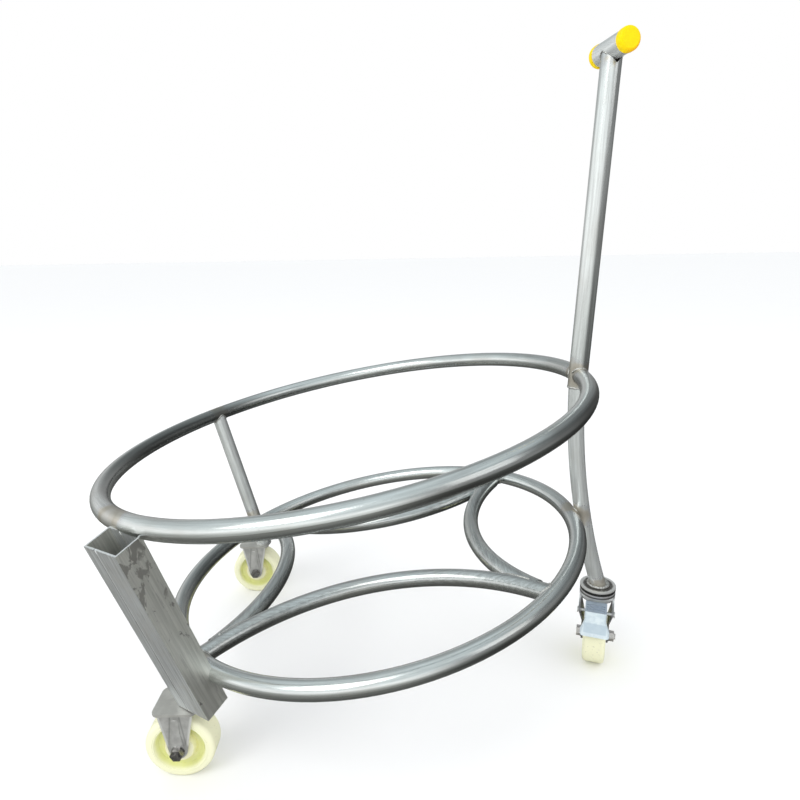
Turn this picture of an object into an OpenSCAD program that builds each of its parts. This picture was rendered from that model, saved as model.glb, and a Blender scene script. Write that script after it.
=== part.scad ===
// Three-wheeled drum dolly: two tube hoops, tilted towards the fixed wheels, hold a drum. A welded
// rectangular socket tube and two round legs carry two fixed casters and one braked swivel caster.
// The floor is z = 0, the fixed axles run along Y and the handle stands on the +X side.

/* [Hoops] */
// Inside diameter of the upper hoop, which clears the drum's body
drum_opening = 606; // [596:1:616]
// Outside diameter of the frame tube
tube_d = 22; // [20:0.5:24]
// Outside diameter of the thinner tube of the floor bars and of the back leg
bar_d = 21.3; // [19:0.1:21.8]
// Wall thickness of all round frame tube
tube_wall = 2; // [1.5:0.1:2.5]
// Centre-line radius of the lower hoop
lower_r = 277; // [272:1:282]
// Distance between the planes of the two hoops
hoop_gap = 198; // [192:1:204]
// Tilt of the hoops, in degrees, with the handle side up
hoop_tilt = 10.2; // [9:0.1:11.5]
// Height of the upper hoop's centre above the floor
hoop_z = 369; // [362:1:376]

/* [Floor bars] */
// Distance of the front and back floor bars from the drum's axis
long_bar_offset = 92; // [88:1:96]
// Distance of the two side floor bars from the drum's axis
side_bar_offset = 137; // [132:1:142]
// Half of the angle that a side floor bar turns through
side_bar_half_angle = 37; // [30:0.5:38]

/* [Handle] */
// Outside diameter of the handle post
post_d = 25; // [24:0.5:27]
// Height of the crossbar's axis
handle_z = 816.5; // [760:0.5:880]
// Sideways lean of the post, in degrees away from the drum
post_lean = 2.8; // [2.4:0.1:3.2]
// Outside diameter of the crossbar
crossbar_d = 26; // [25:0.5:27]
// Length of the crossbar without its end caps
crossbar_length = 56; // [50:1:120]
// Distance by which the crossbar's middle stands off the post, away from the back
crossbar_offset = 2.5; // [0:0.5:6]
// Turn of the crossbar about the post, in degrees
crossbar_twist = 10.5; // [0:0.5:15]
// Outside diameter of the end caps
cap_d = 27.2; // [27:0.1:32]

/* [Socket tube] */
// Size of the rectangular tube's section, radially
socket_depth = 30; // [28:1:32]
// Size of the rectangular tube's section, along the hoop
socket_width = 50; // [46:1:52]
// Wall thickness of the rectangular tube
socket_wall = 2; // [1.5:0.1:2.5]
// Length of the rectangular tube
socket_length = 240; // [236:1:242]

/* [Casters] */
// Wheel diameter
wheel_d = 80; // [79:0.5:80.5]
// Wheel width at the tread
wheel_w = 30; // [28:0.5:30.5]
// Distance of each fixed wheel's middle from the plane of the handle
track_half = 196; // [192:1:200]
// Distance of the fixed axles from the middle of the upper hoop
fixed_axle_back = 190; // [186:1:194]
// Distance of the swivel stem from the middle of the upper hoop
stem_x = 355; // [352:0.5:358]
// Height of the top of the swivel's disc
disc_z = 112; // [111:0.5:114]
// Trail of the swivel wheel behind its stem
trail = 14; // [12:0.5:16]
// Direction in which the swivel wheel trails at rest
swivel_yaw = -110.3; // [-112:0.1:-108]

/* [Hidden] */
$fn = 96;
tube_r = tube_d / 2;
bore_r = tube_r - tube_wall;
bar_r = bar_d / 2;
hoop_r = drum_opening / 2 + tube_r;
post_r = post_d / 2;
wheel_r = wheel_d / 2;
axle_z = wheel_r;
axle_r = 4;
big = 400;

// The origin is the middle of the whole object's box, on the floor.
disc_r = 25;
mid_x = ((stem_x + disc_r) - (hoop_r * cos(hoop_tilt) + tube_r)) / 2;

// Fork plates and the running gear of every caster
plate_t = 2.6;
cheek_in = wheel_w / 2 + 1.2;
cheek_out = cheek_in + plate_t;
cheek_end_r = 10.5;
sleeve_r = 6;
run_fit = 0.08;
hub_r = 16;
tread_round = 5;
dish_r = 30;
dish_depth = 6.5;
nut_af = 13;
nut_t = 6.5;
head_t = 5.4;
washer_r = 8;
washer_t = 1.4;
fork_top_z = 92;
fork_plate_x = 50;
fork_plate_y = 46;
fork_plate_t = 3;
fork_corner_r = 8;
cheek_top_w = 41;

// Socket tube: where its top sits on the upper hoop and how it leans
socket_angle = -128.5;
socket_top_r = 336.5;
socket_top_z = -5.3;
socket_lean_out = 11.6;
socket_lean_side = 7.55;
socket_twist = 4.6;

// Round leg on the other fixed caster
leg_angle = 140.5;
leg_foot = [-175, 190, fork_top_z];
// Gap that the weld fills where the leg meets the hoop's tube
weld_gap = 0.6;

// End caps: the plug inside the crossbar and its clearance, and the head's length and rounding
cap_plug = 12;
cap_fit = 0.15;
cap_head = 9;
cap_round = 4;

// Half of the gap that opens on the inside of the upper hoop's bend, where its ends butt against the post
butt_gap = 1.6;

// How far the post reaches below the middle of the upper hoop's tube
post_below = 16;

// Swivel head, from the disc down
disc_t = 4;
seal_t = 2.4;
crown_top_z = disc_z - disc_t - 2.7;
crown_web_z = crown_top_z - 2.3;
crown_skirt_z = crown_top_z - 10.5;
crown_in_r = disc_r - plate_t;
ball_d = 4.9;
ball_ring_r = 15;
ball_count = 16;
pin_r = 6;
pin_head_r = 9;

// Sides of the swivel fork, measured from the stem along the trail
fork_back = -6;
fork_front = 13;
pin_boss_r = 6;

// Brake pedal, as points [distance from the stem, height] in the swivel's own plane
pedal_t = 1.6;
pedal_heel = [27.5, 98.8];
pedal_toe = [45, 92.5];
pedal_tip = [56.5, 60.5];
pedal_neck_w = 29;
pedal_tip_w = 39;
pedal_ear_t = 1.5;
pedal_pivot = [30, 84.5];
pedal_pin_r = 2.5;

function toward(p, q) = (q - p) / norm(q - p);
// Where a line from point p touches a circle: side is 1 for the left of the way there, -1 for the right.
function touch(p, c, r, side) =
    let (d = norm(c - p), a = asin(r / d), w = atan2(c[1] - p[1], c[0] - p[0]) + side * a)
    p + sqrt(d * d - r * r) * [cos(w), sin(w)];
// A point of the tilted hoops' frame, in the floor's frame
function tilted(p) = [
    p[0] * cos(hoop_tilt) - p[2] * sin(hoop_tilt),
    p[1],
    p[0] * sin(hoop_tilt) + p[2] * cos(hoop_tilt) + hoop_z
];
leg_top = tilted([hoop_r * cos(leg_angle), hoop_r * sin(leg_angle), 0]);
post_foot = tilted([hoop_r, 0, 0]) - post_below * [sin(post_lean), 0, cos(post_lean)];
post_top = [post_foot[0] + (handle_z - post_foot[2]) * tan(post_lean), 0, handle_z];
// The rear leg is one long bend, upright at the post's foot, that ends in the middle of the swivel's disc.
leg_drop = post_foot[2] - disc_z;
leg_reach = stem_x - post_foot[0];
leg_bend_r = (leg_drop * leg_drop + leg_reach * leg_reach) / 2 / leg_reach;

module centred() translate([-mid_x, 0, 0]) children();
module in_hoops() translate([0, 0, hoop_z]) rotate([0, -hoop_tilt, 0]) children();
module in_lower_hoop() in_hoops() translate([0, 0, -hoop_gap]) children();
module in_swivel() translate([stem_x, 0, 0]) rotate([0, 0, swivel_yaw]) children();
module strut(p, q, r, turn = 0) {
    d = q - p;
    translate(p) rotate([0, acos(d[2] / norm(d)), atan2(d[1], d[0])]) rotate([0, 0, turn])
        cylinder(h = norm(d), r = r);
}
module hoop(radius) rotate_extrude($fn = 180) translate([radius, 0]) circle(tube_r);
module tube_hoop(radius) rotate_extrude($fn = 180) translate([radius, 0]) difference() {
    circle(tube_r);
    circle(bore_r);
}
module ring_section(r_out, r_in) difference() {
    circle(r_out);
    if (r_in > 0) circle(r_in);
}
module tube_arc(radius, half_angle, r_out, r_in) rotate([0, 0, -half_angle])
    rotate_extrude(angle = 2 * half_angle, $fn = 180) translate([radius, 0]) ring_section(r_out, r_in);

// Frame hoops
module upper_hoop() color("gainsboro") centred() difference() {
    in_hoops() tube_hoop(hoop_r);
    translate([-butt_gap, 0, 0]) strut(post_foot, post_top, post_r + butt_gap);
    socket_solid();
}
module lower_hoop() color("gainsboro") centred() difference() {
    in_lower_hoop() tube_hoop(lower_r);
    rear_leg_solid();
    strut(leg_foot, leg_top, bar_r);
    socket_solid();
}

// Floor bars, bent to the lower hoop's own radius and bulging towards the drum's axis
function long_bar_half_angle() = acos((long_bar_offset + lower_r) / 2 / lower_r);
module long_bar(side, r_in) in_lower_hoop() translate([0, side * (long_bar_offset + lower_r), 0])
    rotate([0, 0, -side * 90]) tube_arc(lower_r, long_bar_half_angle(), bar_r, r_in);
module side_bar(side) in_lower_hoop() translate([side * (side_bar_offset + lower_r), 0, 0])
    rotate([0, 0, side > 0 ? 180 : 0]) tube_arc(lower_r, side_bar_half_angle, bar_r, bar_r - tube_wall);
module long_floor_bar(side) color("lightgray") centred() difference() {
    long_bar(side, bar_r - tube_wall);
    in_lower_hoop() hoop(lower_r);
}
module side_floor_bar(side) color("lightgray") centred() difference() {
    side_bar(side);
    long_bar(-1, 0);
    long_bar(1, 0);
}
module front_floor_bar() long_floor_bar(-1);
module back_floor_bar() long_floor_bar(1);
module left_floor_bar() side_floor_bar(-1);
module right_floor_bar() side_floor_bar(1);

// Rectangular socket tube on the front fixed caster
module in_socket() in_hoops() rotate([0, 0, socket_angle]) translate([socket_top_r, 0, socket_top_z])
    rotate([0, socket_lean_out, 0]) rotate([-socket_lean_side, 0, 0]) rotate([0, 0, socket_twist]) children();
module socket_solid() in_socket() translate([-socket_depth / 2, -socket_width / 2, -socket_length])
    cube([socket_depth, socket_width, socket_length]);
module socket_tube() color("silver") centred() difference() {
    socket_solid();
    in_socket() translate([socket_wall - socket_depth / 2, socket_wall - socket_width / 2, -socket_length - 1])
        cube([socket_depth - 2 * socket_wall, socket_width - 2 * socket_wall, socket_length + 2]);
}
module socket_weld() color("whitesmoke") centred() difference() {
    in_socket() translate([0, 3 - socket_width / 2, -socket_length]) rotate([0, 90, 0])
        cylinder(h = socket_depth - 6, r = 6.5, center = true);
    socket_solid();
    below(fork_top_z);
}

// Round legs
module below(z) translate([-big, -big, z - 2 * big]) cube([3 * big, 2 * big, 2 * big]);
module back_leg() color("lightgray") centred() {
    way = toward(leg_foot, leg_top);
    difference() {
        strut(leg_foot - 20 * way, leg_top, bar_r, 90);
        strut(leg_foot - 30 * way, leg_top + 30 * way, bar_r - tube_wall, 90);
        in_hoops() rotate([0, 0, leg_angle]) translate([hoop_r, 0, 0]) rotate([90, 0, 0]) rotate([0, 0, 90])
            cylinder(h = 6 * tube_r, r = tube_r + weld_gap, center = true);
        below(fork_top_z);
    }
}
module rear_leg_solid(r_in = 0) translate(post_foot + [leg_bend_r, 0, 0]) rotate([90, 0, 0])
    rotate([0, 0, 180]) rotate_extrude(angle = asin(leg_drop / leg_bend_r) + 1, $fn = 180)
    translate([leg_bend_r, 0]) ring_section(tube_r, r_in);
module rear_leg() color("lightgray") centred() difference() {
    rear_leg_solid(bore_r);
    below(disc_z);
}

// Handle
module post_solid() strut(post_foot, post_top, post_r);
module in_crossbar() translate(post_top) rotate([0, 0, crossbar_twist]) rotate([-90, 0, 0])
    translate([0, 0, -crossbar_offset]) children();
module crossbar_solid(h, r) in_crossbar() cylinder(h = h, r = r, center = true);
// The post's top is cut to a V, in which the crossbar lies with a small gap under it.
module saddle_cut() in_crossbar() {
    apex = crossbar_d / sqrt(2) - 0.4;
    linear_extrude(4 * post_r, center = true)
        polygon([[0, apex], [-2 * post_r, apex - 2 * post_r], [2 * post_r, apex - 2 * post_r]]);
}
module handle_post() color("gainsboro") centred() difference() {
    post_solid();
    strut(post_foot - [0, 0, 5], post_top, post_r - tube_wall);
    crossbar_solid(crossbar_length, crossbar_d / 2);
    saddle_cut();
}
module handle_crossbar() color("silver") centred() difference() {
    crossbar_solid(crossbar_length, crossbar_d / 2);
    crossbar_solid(crossbar_length + 2, crossbar_d / 2 - tube_wall);
}
module grip_cap(side) color("gold") centred() in_crossbar()
    rotate([side > 0 ? 0 : 180, 0, 0]) translate([0, 0, crossbar_length / 2]) rotate_extrude() {
        translate([0, -cap_plug]) square([crossbar_d / 2 - tube_wall - cap_fit, cap_plug + 1]);
        square([cap_d / 2, cap_head - cap_round]);
        square([cap_d / 2 - cap_round, cap_head]);
        translate([cap_d / 2 - cap_round, cap_head - cap_round]) circle(cap_round);
    }
module front_grip_cap() grip_cap(-1);
module back_grip_cap() grip_cap(1);

// Running gear shared by the casters: axle along Y, at the origin, nut or head on the +Y side
module axle_ring(r_out, r_in, from, to) rotate([90, 0, 0]) translate([0, 0, -to]) difference() {
    cylinder(h = to - from, r = r_out);
    translate([0, 0, -1]) cylinder(h = to - from + 2, r = r_in);
}
module hex_ring(af, t, r_in, from) rotate([90, 0, 0]) translate([0, 0, -from - t]) difference() {
    cylinder(h = t, r = af / sqrt(3), $fn = 6);
    translate([0, 0, -1]) cylinder(h = t + 2, r = r_in);
}
module axle_bolt() {
    reach = cheek_out + washer_t;
    rotate([90, 0, 0]) translate([0, 0, -reach - nut_t - 2]) cylinder(h = 2 * reach + nut_t + 2, r = axle_r);
    rotate([90, 0, 0]) translate([0, 0, reach]) cylinder(h = head_t, r = nut_af / sqrt(3), $fn = 6);
}
module axle_nut() hex_ring(nut_af, nut_t, axle_r, cheek_out + washer_t);
module axle_sleeve() axle_ring(sleeve_r, axle_r, -cheek_in, cheek_in);
module axle_washers() for (from = [cheek_out, -cheek_out - washer_t])
    axle_ring(washer_r, axle_r, from, from + washer_t);
module wheel() rotate([90, 0, 0]) rotate_extrude() difference() {
    union() {
        translate([sleeve_r + run_fit, -wheel_w / 2])
            square([wheel_r - tread_round - sleeve_r - run_fit, wheel_w]);
        translate([sleeve_r + run_fit, tread_round - wheel_w / 2])
            square([wheel_r - sleeve_r - run_fit, wheel_w - 2 * tread_round]);
        for (side = [-1, 1]) translate([wheel_r - tread_round, side * (wheel_w / 2 - tread_round)])
            circle(tread_round);
    }
    for (side = [-1, 1]) polygon([
        [hub_r, side * (wheel_w / 2 + 1)],
        [dish_r, side * (wheel_w / 2 + 1)],
        [dish_r, side * wheel_w / 2],
        [dish_r - 4, side * (wheel_w / 2 - dish_depth)],
        [hub_r + 3, side * (wheel_w / 2 - dish_depth)],
        [hub_r, side * wheel_w / 2]
    ]);
}

// Fixed casters: a pressed fork with its plate on top
module round_plate(x, y, r) {
    square([x, y - 2 * r], center = true);
    square([x - 2 * r, y], center = true);
    for (sx = [-1, 1], sy = [-1, 1]) translate([sx * (x / 2 - r), sy * (y / 2 - r)]) circle(r);
}
module cheek_outline(half_w, top, end) {
    right = touch([half_w, top], end, cheek_end_r, 1);
    left = touch([-half_w, top], end, cheek_end_r, -1);
    polygon([[-half_w, top], [half_w, top], right, end, left]);
    translate(end) circle(cheek_end_r);
}
module fixed_fork() difference() {
    union() {
        translate([0, 0, fork_top_z - fork_plate_t]) linear_extrude(fork_plate_t)
            round_plate(fork_plate_x, fork_plate_y, fork_corner_r);
        for (side = [-1, 1]) translate([0, side > 0 ? cheek_out : -cheek_in, 0]) rotate([90, 0, 0])
            linear_extrude(plate_t) cheek_outline(cheek_top_w / 2, fork_top_z - fork_plate_t + 0.5, [0, axle_z]);
    }
    translate([0, 0, axle_z]) rotate([90, 0, 0]) cylinder(h = 2 * cheek_out + 2, r = axle_r, center = true);
}
module at_fixed(side) centred() translate([-fixed_axle_back, side * track_half, 0]) children();
// The nut faces outwards on both fixed casters.
module on_fixed_axle(side) at_fixed(side) translate([0, 0, axle_z])
    rotate([0, 0, side > 0 ? 0 : 180]) children();
module front_fork() color("silver") at_fixed(-1) fixed_fork();
module front_axle_bolt() color("dimgray") on_fixed_axle(-1) axle_bolt();
module front_axle_nut() color("dimgray") on_fixed_axle(-1) axle_nut();
module front_axle_sleeve() color("silver") on_fixed_axle(-1) axle_sleeve();
module front_axle_washers() color("lightgray") on_fixed_axle(-1) axle_washers();
module front_wheel() color("lemonchiffon") on_fixed_axle(-1) wheel();
module back_fork() color("silver") at_fixed(1) fixed_fork();
module back_axle_bolt() color("dimgray") on_fixed_axle(1) axle_bolt();
module back_axle_nut() color("dimgray") on_fixed_axle(1) axle_nut();
module back_axle_sleeve() color("silver") on_fixed_axle(1) axle_sleeve();
module back_axle_washers() color("lightgray") on_fixed_axle(1) axle_washers();
module back_wheel() color("lemonchiffon") on_fixed_axle(1) wheel();

// Swivel caster: in its own frame the stem is the Z axis and the wheel trails along +X
module swivel_disc() color("gray") centred() translate([stem_x, 0, disc_z - disc_t])
    cylinder(h = disc_t, r = disc_r);
module swivel_foot_weld() color("whitesmoke") centred() difference() {
    translate([stem_x, 0, disc_z + 0.4]) rotate_extrude() translate([tube_r + 1.4, 0]) circle(2.6);
    rear_leg_solid();
    translate([stem_x, 0, disc_z - 20]) cylinder(h = 20, r = 60);
}
module kingpin() color("gray") centred() translate([stem_x, 0, 0]) {
    translate([0, 0, crown_web_z - 3]) cylinder(h = disc_z - disc_t - crown_web_z + 3, r = pin_r);
    translate([0, 0, crown_web_z - plate_t - 0.3 - 3]) cylinder(h = 3, r = pin_head_r);
}
module swivel_balls() color("lightgray") centred() translate([stem_x, 0, (crown_web_z + disc_z - disc_t) / 2])
    for (i = [0:ball_count - 1]) rotate([0, 0, i * 360 / ball_count]) translate([ball_ring_r, 0, 0])
        sphere(d = ball_d, $fn = 48);
module dust_seal() color("black") centred() translate([stem_x, 0, disc_z - disc_t - seal_t]) difference() {
    cylinder(h = seal_t, r = disc_r - 0.7);
    translate([0, 0, -1]) cylinder(h = seal_t + 2, r = crown_in_r - 2.4);
}
// The fork's bent sides, seen along the trail, and their outline, seen along the axle
module fork_bend() {
    shoulder = crown_in_r - 1;
    for (side = [-1, 1]) polygon([
        [side * shoulder, crown_skirt_z + 3],
        [side * (shoulder + plate_t), crown_skirt_z + 3],
        [side * (shoulder + plate_t - 0.2), crown_skirt_z - 8],
        [side * cheek_out, crown_skirt_z - 26],
        [side * cheek_out, 0],
        [side * cheek_in, 0],
        [side * cheek_in, crown_skirt_z - 27],
        [side * (shoulder - 0.2), crown_skirt_z - 8.6]
    ]);
}
module swivel_fork() color("gray") centred() in_swivel() difference() {
    union() {
        rotate_extrude() polygon([
            [pin_r + run_fit, crown_web_z - plate_t],
            [crown_in_r, crown_web_z - plate_t],
            [crown_in_r, crown_skirt_z],
            [disc_r - 0.2, crown_skirt_z],
            [disc_r - 0.2, crown_top_z],
            [crown_in_r - 2.4, crown_top_z],
            [crown_in_r - 2.4, crown_web_z],
            [pin_r + run_fit, crown_web_z]
        ]);
        intersection() {
            rotate([90, 0, 90]) translate([0, 0, -40]) linear_extrude(80) fork_bend();
            rotate([90, 0, 0]) translate([0, 0, -40]) linear_extrude(80) fork_side();
        }
    }
    translate([trail, 0, axle_z]) rotate([90, 0, 0]) cylinder(h = 60, r = axle_r, center = true);
    translate([pedal_pivot[0], 0, pedal_pivot[1]]) rotate([90, 0, 0])
        cylinder(h = 60, r = pedal_pin_r, center = true);
}
module fork_side() {
    end = [trail, axle_z];
    boss = pedal_pivot;
    top = crown_skirt_z + 3;
    back = touch([fork_back, crown_skirt_z - 6], end, cheek_end_r, -1);
    front = touch(boss + [pin_boss_r, 0], end, cheek_end_r, 1);
    polygon([[fork_back, top], [fork_front, top], boss + [0, pin_boss_r], boss + [pin_boss_r, 0],
        front, end, back, [fork_back, crown_skirt_z - 6]]);
    translate(end) circle(cheek_end_r);
    translate(boss) circle(pin_boss_r);
}
module on_swivel_axle() centred() in_swivel() translate([trail, 0, axle_z]) children();
module swivel_axle_bolt() color("gray") on_swivel_axle() axle_bolt();
module swivel_axle_nut() color("gray") on_swivel_axle() axle_nut();
module swivel_axle_sleeve() color("silver") on_swivel_axle() axle_sleeve();
module swivel_axle_washers() color("lightgray") on_swivel_axle() axle_washers();
module swivel_wheel() color("lemonchiffon") on_swivel_axle() wheel();

// Brake: a spring strip under the crown and a foot pedal on a cross pin
module brake_spring() color("dimgray") centred() in_swivel() rotate([90, 0, 0])
    translate([0, 0, -6]) linear_extrude(12) polygon([
        [10.5, crown_web_z - plate_t],
        [10.5, crown_web_z - plate_t - 1],
        [18, crown_web_z - plate_t - 1],
        [24, 86.2],
        [25, 86.8],
        [19, crown_web_z - plate_t]
    ]);
// The pin's heads stand just outside the fork's shoulders.
pin_reach = crown_in_r - 1 + plate_t;
module brake_pin() color("silver") centred() in_swivel() translate([pedal_pivot[0], 0, pedal_pivot[1]])
    rotate([90, 0, 0]) {
        cylinder(h = 2 * pin_reach, r = pedal_pin_r - 0.02, center = true);
        for (side = [-1, 1]) translate([0, 0, side * (pin_reach + 0.7)])
            cylinder(h = 1.4, r = pedal_pin_r + 1.6, center = true);
    }

// The pedal's sheet is a strip bent at the toe. inward() points from a leg of it to its inner side.
pedal_fall = toward(pedal_toe, pedal_tip);
pedal_run = norm(pedal_tip - pedal_toe);
function inward(d, depth) = depth * [d[1], -d[0]];
function toe_inside(depth) =
    let (a = inward(toward(pedal_heel, pedal_toe), 1), b = inward(pedal_fall, 1))
    pedal_toe + depth * (a + b) / (1 + a * b);
module pedal_strip() {
    back = inward(toward(pedal_heel, pedal_toe), pedal_t);
    polygon([pedal_heel, pedal_toe, pedal_tip, pedal_tip + inward(pedal_fall, pedal_t), toe_inside(pedal_t),
        pedal_heel + back]);
}
module pedal_ear() {
    half = pedal_t / 2;
    polygon([
        pedal_pivot + [-4, 3],
        pedal_pivot + [-4, -3],
        pedal_pivot + [2, -5.2],
        pedal_toe + 18 * pedal_fall + inward(pedal_fall, half),
        toe_inside(half),
        pedal_heel + [1, 0] + inward(toward(pedal_heel, pedal_toe), half)
    ]);
}
// The pedal seen along the trail: a neck that widens round the fork, with clipped lower corners
module pedal_front() {
    drop = -pedal_fall[1];
    half_neck = pedal_neck_w / 2;
    half_tip = pedal_tip_w / 2;
    low = pedal_tip[1] - pedal_t;
    for (side = [-1, 1]) polygon([
        [0, pedal_heel[1] + 5],
        [side * half_neck, pedal_heel[1] + 5],
        [side * half_neck, pedal_toe[1] - 12 * drop],
        [side * half_tip, pedal_toe[1] - (pedal_run - 10) * drop],
        [side * half_tip, pedal_toe[1] - (pedal_run - 3) * drop],
        [side * (half_tip - 3), low],
        [0, low]
    ]);
}
module brake_pedal() color("lightsteelblue") centred() in_swivel() difference() {
    union() {
        intersection() {
            rotate([90, 0, 0]) linear_extrude(pedal_tip_w + 4, center = true) pedal_strip();
            rotate([90, 0, 90]) linear_extrude(pedal_tip[0] + 10) pedal_front();
        }
        for (side = [-1, 1]) translate([0, side * (pedal_neck_w / 2 - pedal_ear_t / 2 - 0.2), 0])
            rotate([90, 0, 0]) linear_extrude(pedal_ear_t, center = true) pedal_ear();
    }
    translate([pedal_pivot[0], 0, pedal_pivot[1]]) rotate([90, 0, 0])
        cylinder(h = 60, r = pedal_pin_r + run_fit, center = true);
}

upper_hoop();
lower_hoop();
front_floor_bar();
back_floor_bar();
left_floor_bar();
right_floor_bar();
socket_tube();
socket_weld();
back_leg();
rear_leg();
handle_post();
handle_crossbar();
front_grip_cap();
back_grip_cap();
front_fork();
front_axle_bolt();
front_axle_nut();
front_axle_sleeve();
front_axle_washers();
front_wheel();
back_fork();
back_axle_bolt();
back_axle_nut();
back_axle_sleeve();
back_axle_washers();
back_wheel();
swivel_disc();
swivel_foot_weld();
kingpin();
swivel_balls();
dust_seal();
swivel_fork();
swivel_axle_bolt();
swivel_axle_nut();
swivel_axle_sleeve();
swivel_axle_washers();
swivel_wheel();
brake_spring();
brake_pin();
brake_pedal();
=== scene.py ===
import math

import bmesh
import bpy
from mathutils import Matrix, Vector


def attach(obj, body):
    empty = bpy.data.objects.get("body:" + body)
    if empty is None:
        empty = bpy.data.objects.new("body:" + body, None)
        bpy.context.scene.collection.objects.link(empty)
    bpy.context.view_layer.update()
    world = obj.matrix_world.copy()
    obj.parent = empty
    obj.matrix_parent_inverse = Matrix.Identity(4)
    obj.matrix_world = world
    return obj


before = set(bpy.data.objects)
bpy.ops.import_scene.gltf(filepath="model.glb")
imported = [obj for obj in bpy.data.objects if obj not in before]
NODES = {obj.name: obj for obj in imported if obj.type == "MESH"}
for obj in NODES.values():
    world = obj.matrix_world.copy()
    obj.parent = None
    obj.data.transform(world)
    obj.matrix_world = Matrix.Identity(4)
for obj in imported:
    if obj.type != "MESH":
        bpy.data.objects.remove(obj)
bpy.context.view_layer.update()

MM = 0.001

# The part's own dimensions, as in its source, in millimetres and degrees
TUBE_R = 11.0
BAR_R = 10.65
POST_R = 12.5
HOOP_R = 314.0
LOWER_R = 277.0
HOOP_GAP = 198.0
HOOP_Z = 369.0
HOOP_TILT = math.radians(10.2)
WHEEL_R = 40.0
TRACK = 196.0
FIXED_X = -190.0
STEM_X = 355.0
DISC_R = 25.0
DISC_Z = 112.0
MID_X = ((STEM_X + DISC_R) - (HOOP_R * math.cos(HOOP_TILT) + TUBE_R)) / 2
YAW = math.radians(-110.3)
TRAIL = 14.0
PLATE_TOP = 92.0
POST_LEAN = math.radians(2.8)
POST_SUNK = 16.0
HANDLE_Z = 816.5
CROSSBAR_R = 13.0
CROSSBAR_TWIST = math.radians(10.5)
LEG_ANGLE = math.radians(140.5)
SOCKET_ANGLE = -128.5
SOCKET_TOP_R = 336.5
SOCKET_TOP_Z = -5.3
SOCKET_LEAN_OUT = 11.6
SOCKET_LEAN_SIDE = 7.55
SOCKET_TWIST = 4.6
SOCKET_L = 239.0
LONG_BAR_Y = 369.0
SHORT_BAR_X = 414.0
NEAR = -1
FAR = 1
Y = Vector((0, 1, 0))
Z = Vector((0, 0, 1))


def at(x, y, z):
    """A point given from the upper hoop's middle, as the part's source gives it, in the row frame."""
    return Vector((x - MID_X, y, z))


def along(origin, x, y, z):
    """The frame of a sub-part, in millimetres, as a matrix from its own axes to the row frame."""
    m = Matrix((x, y, z)).transposed().to_4x4()
    m.translation = origin
    return m


def turn(degrees, axis):
    """A turn about one of the axes, as a matrix."""
    return Matrix.Rotation(math.radians(degrees), 4, axis)


# Frames and middles of the sub-parts
UP_X = Vector((math.cos(HOOP_TILT), 0, math.sin(HOOP_TILT)))
UP_Z = Vector((-math.sin(HOOP_TILT), 0, math.cos(HOOP_TILT)))
HOOP_C = at(0, 0, HOOP_Z)
LOWER_C = HOOP_C - HOOP_GAP * UP_Z
HOOP_FRAME = along(HOOP_C, UP_X, Y, UP_Z)
SOCKET = (
    HOOP_FRAME @ turn(SOCKET_ANGLE, "Z") @ Matrix.Translation((SOCKET_TOP_R, 0, SOCKET_TOP_Z))
    @ turn(SOCKET_LEAN_OUT, "Y") @ turn(-SOCKET_LEAN_SIDE, "X") @ turn(SOCKET_TWIST, "Z")
)
SOCKET_BACK = SOCKET.inverted()
SWIVEL = Matrix.Translation(at(STEM_X, 0, 0)) @ Matrix.Rotation(YAW, 4, "Z")

# Ends of the straight tubes
POST_WAY = Vector((math.sin(POST_LEAN), 0, math.cos(POST_LEAN)))
HOOP_END = HOOP_C + HOOP_R * UP_X
POST_FOOT = HOOP_END - POST_SUNK * POST_WAY
POST_TOP = POST_FOOT + (HANDLE_Z - POST_FOOT.z) / POST_WAY.z * POST_WAY
BAR_WAY = Vector((-math.sin(CROSSBAR_TWIST), math.cos(CROSSBAR_TWIST), 0))
LEG_FOOT = at(-175, 190, PLATE_TOP)
LEG_TOP = HOOP_C + HOOP_R * (math.cos(LEG_ANGLE) * UP_X + math.sin(LEG_ANGLE) * Y)
WHEELS = {
    "front": ("front_roller", at(FIXED_X, -TRACK, WHEEL_R), Y),
    "back": ("back_roller", at(FIXED_X, TRACK, WHEEL_R), Y),
    "swivel": ("swivel_roller", SWIVEL @ Vector((TRAIL, 0, WHEEL_R)), SWIVEL.to_3x3() @ Y),
}


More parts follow.
